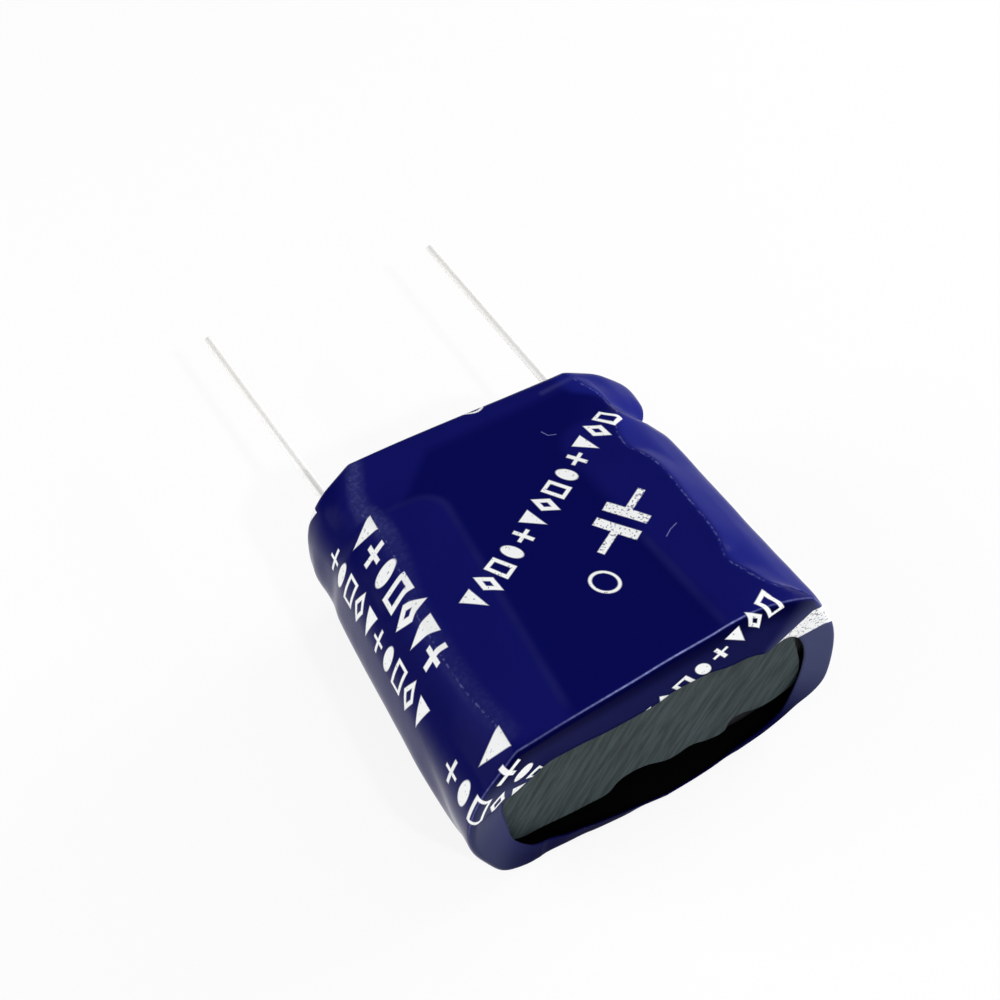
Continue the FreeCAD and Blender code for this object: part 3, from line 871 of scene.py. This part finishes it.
def build_film():
    material, tree, shader = start_material("printed_shrink_film", IOR=1.5)
    unrolled = add_node(tree, "ShaderNodeUVMap", uv_map=FILM_MAP)
    s, v, _ = parts_of(Term(unrolled.outputs[0]))
    s, v = s / MM, v / MM
    place = object_place(tree)
    fine = use_group(tree, mottle_group, Place=place, Patch_Scale=220.0, Grain_Scale=5200.0)
    patches = fine["Patches"]
    specks = ease(noise(place, SPECK_SCALE, 3.0), *FILM_SPECKS)
    ink = worn_ink(tree, s, v, place, fine["Grain"])
    right, left = crest_distances(s, v)
    across = FILM_ROUND / MM / 2 - s
    behind = behind_fold(s, v)
    lip = ease(behind, *LIP_START)
    distance = pad_distance(across, v)
    # painted light on the pads and the rim, painted shade in the hollows between them
    pad_light = painted_pad_light(across, v, distance) * partly(0.2, patches) * (1.0 - ease(left, *LEFT_FLANK))
    # the front lip takes painted shade below the fold and painted light at its edge and sides
    blue = film_colour(tree, v, pad_light, right, lip, painted_lip_light_and_shade(tree, behind, across))
    border = pad_border(across, v, distance, patches)
    # pale creases and scratches, with painted highlight on the fold and the left crest
    stress_and_highlight = most(pale_lines(s, v, behind, right, left, specks), border)
    worn = blend(tree, stress_and_highlight, blue, FILM_STRESS_AND_HIGHLIGHT)
    tree.links.new(blend(tree, ink, worn, INK_WHITE), shader.inputs["Base Color"])
    feed(shader.inputs["Roughness"], 0.15 + 0.05 * patches + 0.2 * ink + 0.15 * stress_and_highlight)
    mirror = WEAK_MIRROR + PAPER_MIRROR * ease(left, *PAPER_MIRROR_START)
    feed(shader.inputs["Specular IOR Level"], mirror * (1.0 - LIP_DULLNESS * lip))
    bump(tree, shader, patches * 0.5 + ink * 0.08 + fine["Grain"] * 0.04, strength=0.25, depth=0.1 * MM)
    return material


film_material = build_film()
print("film material has", len(film_material.node_tree.nodes), "nodes")

# %% [markdown]
# ## The other finishes
# The inside of the film is painted near black: painted shade for the dark of the mouth. The cans are drawn
# aluminium with fine lines along them, the seals are rubber, each cell has its own black film, and the wires
# are bright tin with faint drawing marks, their pale colour partly painted reflection.

# %% Plain finishes from one recipe
PLAIN_FINISHES = {
    # painted shade: the inside of the film is made near black so the mouth reads dark
    "film_inside_painted_shade": dict(
        name="film_inside_painted_shade", light=(0.0010, 0.0011, 0.0012), dark=(0.0006, 0.0007, 0.0007),
        rough=(0.75, 0.9), patch=300, grain=4000, depth=0.01 * MM, shine=0.02),
    "can_aluminium": dict(
        name="drawn_aluminium", light=(0.78, 0.79, 0.80), dark=(0.62, 0.63, 0.65), rough=(0.28, 0.45),
        patch=250, grain=3000, depth=0.01 * MM, metallic=1.0, stretch=(1.0, 0.06, 1.0)),
    "bung_rubber": dict(
        name="seal_rubber", light=(0.026, 0.026, 0.028), dark=(0.012, 0.012, 0.013), rough=(0.6, 0.85),
        patch=400, grain=6000, depth=0.02 * MM),
    "cell_film": dict(
        name="cell_film", light=(0.010, 0.010, 0.012), dark=(0.004, 0.004, 0.005), rough=(0.4, 0.6),
        patch=300, grain=3000, depth=0.01 * MM),
    # pale like tin, but mostly diffuse: its brightness is partly painted reflection in place of the mirror
    # of the metal
    "tinned_wire": dict(
        name="tinned_wire", light=(0.95, 0.945, 0.93), dark=(0.88, 0.87, 0.84), rough=(0.35, 0.5),
        patch=500, grain=6000, depth=0.006 * MM, metallic=0.12, stretch=(1.0, 0.08, 1.0), shine=0.3),
    "solder": dict(
        name="dull_solder", light=(0.66, 0.66, 0.65), dark=(0.42, 0.42, 0.42), rough=(0.35, 0.6),
        patch=700, grain=5000, depth=0.02 * MM, metallic=1.0),
}
UNSTRETCHED = (1.0, 1.0, 1.0)


def build_plain(name, light, dark, rough, patch, grain, depth, metallic=0.0, stretch=UNSTRETCHED, shine=0.5):
    """A finish that varies between two colours, with its own roughness and a fine relief."""
    material, tree, shader = start_material(name, Metallic=metallic, Specular_IOR_Level=shine)
    x, y, z = parts_of(object_place(tree))
    place = vector(x * stretch[0], y * stretch[1], z * stretch[2])
    fine = use_group(tree, mottle_group, Place=place, Patch_Scale=patch, Grain_Scale=grain)
    share = fine["Patches"] * 0.6 + fine["Grain"] * 0.4
    tree.links.new(blend(tree, share, dark, light), shader.inputs["Base Color"])
    feed(shader.inputs["Roughness"], rough[0] + (rough[1] - rough[0]) * fine["Grain"])
    bump(tree, shader, fine["Height"], strength=0.4, depth=depth)
    return material


finishes = {slot: build_plain(**values) for slot, values in PLAIN_FINISHES.items()}
print("plain finishes:", ", ".join(finishes))

# %% [markdown]
# The fibre board needs more than that recipe: it has short slanted streaks, as pressed paper has. They
# are a noise stretched along the slant, and a second noise bends them so that they do not look ruled.

# %% Fibre board
BOARD_LIGHT = (0.046, 0.063, 0.067)
BOARD_DARK = (0.015, 0.022, 0.024)
STREAK_ANGLE = math.radians(55.0)
STREAK_SCALE = 4200.0
STREAK_STRETCH = 0.1
STREAK_TONES = (0.32, 0.66)
WANDER_SCALE = 200.0
WANDER = 0.4 * MM


def build_board_finish():
    material, tree, shader = start_material("pressed_fibre", Specular_IOR_Level=0.15)
    x, y, z = parts_of(object_place(tree))
    along = x * math.cos(STREAK_ANGLE) + z * math.sin(STREAK_ANGLE)
    across = z * math.cos(STREAK_ANGLE) - x * math.sin(STREAK_ANGLE)
    wander = noise(vector(along, across, y), WANDER_SCALE) * WANDER
    streaks = noise(vector(along * STREAK_STRETCH, across + wander, y), STREAK_SCALE, 3.0, 0.6)
    fine = use_group(tree, mottle_group, Place=vector(x, y, z), Patch_Scale=300.0, Grain_Scale=7000.0)
    share = ease(streaks, *STREAK_TONES) * 0.75 + fine["Patches"] * 0.15 + fine["Grain"] * 0.1
    tree.links.new(blend(tree, share, BOARD_DARK, BOARD_LIGHT), shader.inputs["Base Color"])
    feed(shader.inputs["Roughness"], 0.55 + 0.25 * fine["Grain"])
    bump(tree, shader, streaks * 0.8 + fine["Grain"] * 0.2, strength=0.5, depth=0.06 * MM)
    return material


finishes["fibre_board"] = build_board_finish()
print("board finish has", len(finishes["fibre_board"].node_tree.nodes), "nodes")

# %% [markdown]
# The record names a finish for every piece, so dressing the CAD pieces is a look-up.

# %% Dress the CAD pieces
slot_of = {part["node"]: part["material_slot"] for part in frame["record"]["subparts"]}
finishes["sleeve_film"] = film_material
for name, piece in nodes.items():
    piece.data.materials.clear()
    piece.data.materials.append(finishes[slot_of[name]])
print("dressed", len(nodes), "CAD pieces")

# %% [markdown]
# ## Rolling up the film
# The first formulas roll the grid round the cells. The columns of the grid are shared out over the two
# halves of the underside, the two round sides and the top, with most on the sides, where the ridges
# are. The turning angle grows only on the round sides, and the centre of the circle moves only on the
# flats.

# %% Round the section
COLUMNS = {"right_below": 15, "right_side": 170, "top": 30, "left_side": 170, "left_below": 15}


def stretch_shares(place, counts):
    """How far each stretch of the grid has come at this place, from 0 to 1."""
    number = place * float(sum(counts.values()))
    shares = {}
    done = 0
    for stretch, count in counts.items():
        shares[stretch] = between((number - float(done)) / float(count), 0.0, 1.0)
        done += count
    return shares


def round_the_cells(shares, given):
    """Length round the film, centre of the arc and turning angles of the two sides."""
    below = shares["right_below"] + shares["left_below"]
    right_turn, left_turn = shares["right_side"] * math.pi, shares["left_side"] * math.pi
    s = given["Cell Offset"] * (below + shares["top"] * 2.0) + given["Radius"] * (right_turn + left_turn)
    centre = given["Cell Offset"] * (below - shares["top"] * 2.0)
    return s, centre, right_turn, left_turn


print("columns of the grid:", sum(COLUMNS.values()))

# %% [markdown]
# Along the film, the rows of the grid are shared out: a lip and a shoulder at the lead end, the long
# straight run, then the fold and the lip at the front. A very short lip is only partly turned in, and a
# long one leans back towards the board.

# %% Along the film
ROWS = {"lead_lip": 5, "shoulder": 7, "run": 80, "fold": 8, "front_lip": 10}
LEAST_LIP = 0.05 * MM
LIP_FULL_TURN = 0.2 * MM
LEAN_START = (0.5 * MM, 1.1 * MM)
LEAN_STEEPEST = 0.45
LEAN_LEAST_LIP = 0.1 * MM
SHOULDER_LEFT = 0.5 * MM
SHOULDER_MORE = 0.6 * MM
SHOULDER_SIDES = (-0.5, 0.7)
QUARTER = math.pi / 2


def along_the_film(around, side, shares, given):
    """Inset from the full radius, place along the cells, the same without folds, length along the film."""
    fold = given["Front Fold"]
    lip = most(drawn_curve(around, LIP_WIDTH) * MM - fold, LEAST_LIP)
    front = given["Front"] + drawn_curve(around, FRONT_LINE) * MM
    shoulder = SHOULDER_LEFT + SHOULDER_MORE * ease(side, *SHOULDER_SIDES)
    back_edge = given["Back"] - shoulder
    bend = shares["shoulder"] * QUARTER
    to_board = (given["Board Face"] - front) / most(lip, LEAN_LEAST_LIP)
    lean = figure("ARCSINE", between(to_board, 0.0, LEAN_STEEPEST)) * ease(lip, *LEAN_START)
    full_bend = between(lip / LIP_FULL_TURN, 0.0, 1.0) * QUARTER + lean
    front_bend = shares["fold"] * full_bend
    lip_run = shares["front_lip"] * lip
    fold_reach = fold * figure("SINE", least(full_bend, QUARTER))
    lip_reach = lip * most(figure("COSINE", full_bend), 0.0)
    run = back_edge - front - (fold_reach + lip_reach)
    inset = (
        (given["Lead Lip"] - shoulder) * (1.0 - shares["lead_lip"])
        + shoulder * (1.0 - figure("SINE", bend))
        + fold * (1.0 - figure("COSINE", front_bend))
        + lip_run * figure("SINE", full_bend)
    )
    straight = back_edge + shoulder * figure("COSINE", bend) - run * shares["run"]
    y = straight - fold * figure("SINE", front_bend) - lip_run * figure("COSINE", full_bend)
    unrolled = (
        back_edge - run * shares["run"]
        + shoulder * (QUARTER - bend)
        + (given["Lead Lip"] - shoulder) * (1.0 - shares["lead_lip"])
        - fold * front_bend - lip_run
    )
    return inset, y, straight, unrolled


print("rows of the grid:", sum(ROWS.values()))

# %% [markdown]
# The last formulas give the film its character: the ridges, the dent where the bead pulls the film in,
# mostly on the right, and the shallow hollow between the cells.

# %% Ridges, bead and sag
BEAD_HALF = 1.6 * MM
BEAD_ROUNDNESS = 1.3
BEAD_SIDES = (-0.3, 0.3)
SAG_EDGE = (-0.5, 0.9)
SAG_ENDS = (9.6 * MM, 7.6 * MM)


def ridges_on(turn_from_top, lengthwise, ridges, given):
    """How far the film stands off the round side. The ridge that stands off most counts, below the flats."""
    corner = None
    for ridge, degrees in zip(ridges, CREST_ROUNDING):
        rounding = math.radians(degrees)
        crest, reach = ridge_line(lengthwise, ridge)
        away = figure("SQRT", (turn_from_top - crest) ** 2.0 + rounding ** 2) - rounding
        own = most(reach - away, 0.0)
        corner = own if corner is None else most(corner, own)
    level = least(turn_from_top, math.pi - turn_from_top)
    return given["Radius"] * (1.0 / figure("COSINE", least(corner, level)) - 1.0)


def bead_dent(y, roundness, side, given):
    """The film's sink at the rolled bead, deepest on the round sides and most of all on the right."""
    near = ease(abs(y - given["Bead Place"]), BEAD_HALF, 0.0)
    return given["Bead Depth"] * near * roundness ** BEAD_ROUNDNESS * partly(0.9, ease(side, *BEAD_SIDES))


def web_sag(centre, y, given):
    """The shallow hollow between the pads over the cells, which ends before both boards."""
    hollow = ease(pad_distance(centre / MM, y / MM), *SAG_EDGE)
    return given["Web Sag"] * hollow * ease(abs(y), *SAG_ENDS)


print("sinks in mm:", {name: round(sleeve_sizes[name] / MM, 2) for name in ("Bead Depth", "Web Sag")})

# %% [markdown]
# Now the tree itself. It makes the grid, moves every point by the formulas above, keeps the unrolled place
# as a UV map for the print and welds the seam. A slow noise adds the last small waves.

# %% Roll the grid into the sleeve
WAVE_SCALE = 330.0
WAVE_ON_FLATS = 0.5
WAVE_SPAN = (10.0 * MM, 5.0 * MM)
FLARE_SIDES = (-0.2, 0.8)
FLARE_RUN = 1.0 * MM
RIDGE_FADE = (0.2, 1.0)
SEAM_WELD = 0.002 * MM


def sleeve_tree():
    """The Geometry Nodes tree that makes the sleeve."""
    tree = bpy.data.node_groups.new("shrink_sleeve", "GeometryNodeTree")
    tree.interface.new_socket("Geometry", in_out="OUTPUT", socket_type="NodeSocketGeometry")
    for name in sleeve_sizes:
        tree.interface.new_socket(name, in_out="INPUT", socket_type="NodeSocketFloat")
    tree.interface.new_socket("Finish", in_out="INPUT", socket_type="NodeSocketMaterial")
    start = add_node(tree, "NodeGroupInput")
    end = add_node(tree, "NodeGroupOutput")
    given = {name: Term(start.outputs[name]) for name in sleeve_sizes}

    grid = add_node(tree, "GeometryNodeMeshGrid")
    grid.inputs["Vertices X"].default_value = sum(COLUMNS.values()) + 1
    grid.inputs["Vertices Y"].default_value = sum(ROWS.values()) + 1
    flat_x, flat_y, _ = parts_of(Term(add_node(tree, "GeometryNodeInputPosition").outputs[0]))
    shares = stretch_shares(flat_y + 0.5, ROWS)

    s, centre, right_turn, left_turn = round_the_cells(stretch_shares(flat_x + 0.5, COLUMNS), given)
    turn = right_turn + left_turn
    sine, cosine = figure("SINE", turn), figure("COSINE", turn)
    radius = given["Radius"]
    side = (centre + radius * sine) / (given["Cell Offset"] + radius)
    inset, y, straight, unrolled = along_the_film(s / FILM_ROUND, side, shares, given)
    lengthwise = share_of_length(straight, given["Front"], given["Back"])
    right_proud = ridges_on(math.pi - right_turn, lengthwise, RIGHT_RIDGES, given)
    left_proud = ridges_on(left_turn, lengthwise, LEFT_RIDGES, given)
    proud = (right_proud + left_proud) * (1.0 - shares["front_lip"]) * ease(shares["lead_lip"], *RIDGE_FADE)
    roundness = abs(sine)
    plain_place = vector(side * WAVE_SPAN[0], straight, cosine * WAVE_SPAN[1])
    wave = noise(plain_place, WAVE_SCALE, 1.0) * given["Waviness"] * (WAVE_ON_FLATS + roundness)
    sunk = inset + bead_dent(straight, roundness, side, given) + web_sag(centre, straight, given) + wave
    reach = radius - sunk + proud
    bead = given["Bead Place"]
    flare = given["Rim Flare"] * ease(side, *FLARE_SIDES) * ease(straight, bead, bead + FLARE_RUN)
    place = vector(centre + (reach + flare) * sine, y, radius - reach * cosine)

    shape = grid.outputs["Mesh"]
    store = add_node(tree, "GeometryNodeStoreNamedAttribute", data_type="FLOAT2", domain="CORNER")
    store.inputs["Name"].default_value = FILM_MAP
    feed(next(k for k in store.inputs if k.name == "Value" and k.enabled), vector(s, unrolled, 0.0))
    tree.links.new(shape, store.inputs["Geometry"])
    shape = store.outputs["Geometry"]
    steps = ("GeometryNodeSetPosition", "GeometryNodeMergeByDistance", "GeometryNodeSetShadeSmooth",
             "GeometryNodeRealizeInstances", "GeometryNodeSetMaterial")
    for kind in steps:
        node = add_node(tree, kind)
        tree.links.new(shape, node.inputs["Geometry"])
        shape = node.outputs["Geometry"]
        if kind == "GeometryNodeSetPosition":
            feed(node.inputs["Position"], place)
        if kind == "GeometryNodeMergeByDistance":
            node.inputs["Distance"].default_value = SEAM_WELD
        if kind == "GeometryNodeSetMaterial":
            tree.links.new(start.outputs["Finish"], node.inputs["Material"])
    tree.links.new(shape, end.inputs["Geometry"])
    return tree


film_roller = sleeve_tree()
print("tree", film_roller.name, "has", len(film_roller.nodes), "nodes")

# %% [markdown]
# The tree runs once, as a modifier with the measured sizes. Its result becomes a plain mesh, and Solidify
# gives it the wall of the film, with a near-black finish inside that is painted shade.


# %% The sleeve as a plain mesh
def plain_mesh(piece):
    """Replaces a piece's mesh by what its modifiers make of it, and removes them."""
    graph = bpy.context.evaluated_depsgraph_get()
    made = bpy.data.meshes.new_from_object(piece.evaluated_get(graph), depsgraph=graph)
    piece.modifiers.clear()
    piece.data = made
    made.name = piece.name
    return piece


def new_piece(name):
    piece = bpy.data.objects.new(name, bpy.data.meshes.new(name))
    bpy.context.scene.collection.objects.link(piece)
    return piece


def build_sleeve():
    sleeve = new_piece("shrink_sleeve")
    maker = sleeve.modifiers.new("shrink_sleeve", "NODES")
    maker.node_group = film_roller
    for item in film_roller.interface.items_tree:
        if item.in_out == "INPUT":
            maker[item.identifier] = film_material if item.name == "Finish" else sleeve_sizes[item.name]
    plain_mesh(sleeve)
    # the near-black inside is painted shade
    sleeve.data.materials.append(finishes["film_inside_painted_shade"])
    wall = sleeve.modifiers.new("film_wall", "SOLIDIFY")
    wall.thickness = FILM_WALL
    wall.offset = -1.0
    wall.material_offset = 1
    plain_mesh(sleeve)
    sleeve.data.uv_layers[FILM_MAP].active = True
    return sleeve


sleeve = build_sleeve()
print("sleeve has", len(sleeve.data.polygons), "faces")

# %% [markdown]
# ## The end board
# The board is a strip of pressed fibre, cut with snips to about the section of the sleeve. Its lower
# edge is not quite straight, which shows against the dark of the mouth. A filled curve with a small
# bevel gives such a stamped sheet with few points.

# %% Cut the board
BOARD_EDGE = (
    (-9.1, 5.6), (-8.48, 2.25), (-7.8, 1.72), (-6.56, 1.62), (-5.22, 1.46), (-3.85, 1.38), (-2.76, 1.42),
    (-2.17, 1.95), (-1.61, 2.15), (-0.67, 2.11), (0.9, 1.49), (2.2, 1.66), (3.17, 1.33), (4.16, 1.31),
    (4.57, 1.99), (4.98, 2.11), (6.48, 1.72), (7.97, 2.03), (8.46, 2.31), (8.74, 3.32), (8.55, 5.13),
    (8.32, 6.22), (7.9, 8.6), (6.8, 9.5), (4.6, 9.9), (0.0, 9.95), (-4.6, 9.9), (-7.8, 8.9),
)
BOARD_BEVEL = 0.05 * MM


def build_board():
    """The board's outline as a closed curve in its own plane, then stood up on its edge."""
    outline = bpy.data.curves.new("fibre_board", "CURVE")
    outline.dimensions = "2D"
    outline.fill_mode = "BOTH"
    outline.resolution_u = 10
    outline.extrude = (board_high.y - board_low.y) / 2 - BOARD_BEVEL
    outline.bevel_depth = BOARD_BEVEL
    outline.bevel_resolution = 1
    outline.offset = -BOARD_BEVEL
    edge = outline.splines.new("BEZIER")
    edge.bezier_points.add(len(BOARD_EDGE) - 1)
    edge.use_cyclic_u = True
    for point, (x, z) in zip(edge.bezier_points, BOARD_EDGE):
        point.co = (x * MM, z * MM, 0.0)
        point.handle_left_type = "AUTO"
        point.handle_right_type = "AUTO"
    source = bpy.data.objects.new("fibre_board_outline", outline)
    bpy.context.scene.collection.objects.link(source)
    graph = bpy.context.evaluated_depsgraph_get()
    board = new_piece("fibre_board")
    board.data = bpy.data.meshes.new_from_object(source.evaluated_get(graph), depsgraph=graph)
    bpy.data.objects.remove(source)
    stand_up = Matrix.Rotation(math.pi / 2, 4, "X")
    board.data.transform(Matrix.Translation((0.0, (board_low.y + board_high.y) / 2, 0.0)) @ stand_up)
    board.data.materials.clear()
    board.data.materials.append(finishes["fibre_board"])
    return board


board = build_board()
print("board has", len(board.data.polygons), "faces")

# %% [markdown]
# ## Hand the pieces to the frame
# Each new piece rides on the one body of this part, and the CAD piece it stands for is hidden.

# %% Ride and replace
for piece, node, slot in ((sleeve, "outer_sleeve", "sleeve_film"), (board, "end_board", "fibre_board")):
    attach(piece, "root")
    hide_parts(node)
